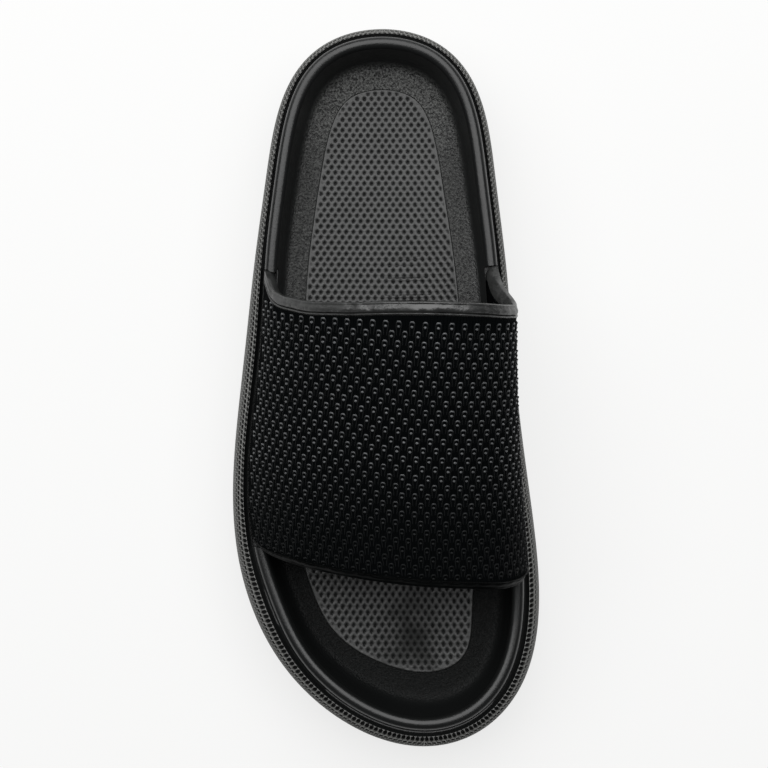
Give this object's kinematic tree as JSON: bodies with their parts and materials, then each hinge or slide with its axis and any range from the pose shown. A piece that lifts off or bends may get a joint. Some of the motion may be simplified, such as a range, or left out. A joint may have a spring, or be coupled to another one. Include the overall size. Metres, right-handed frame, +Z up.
{
  "type": "slide sandal",
  "caption": "Black moulded slide sandal for the right foot: thick bulged sole, rounded rim, dimpled footbed and one wide arched strap with smooth edge trims.",
  "frame": {"origin": "on the floor, under the middle of the shoe's box", "axes": "+Z up, -Y towards the toes, +Y towards the heel, +X towards the big toe side"},
  "size_m": [0.117, 0.27, 0.0857],
  "materials": {
    "sole_foam": "black moulded foam, fine matt grain, netted side",
    "insole_foam": "charcoal moulded foam with oval dimples",
    "strap_knit": "deep black, moulded like a ribbed knit with small loops",
    "trim_smooth": "smooth black, soft semi-gloss"
  },
  "bodies": {
    "root": {"sole": "sole_foam", "insole": "insole_foam", "strap": "strap_knit", "strap_trim_rear": "trim_smooth", "strap_trim_front": "trim_smooth"}
  },
  "joints": []
}
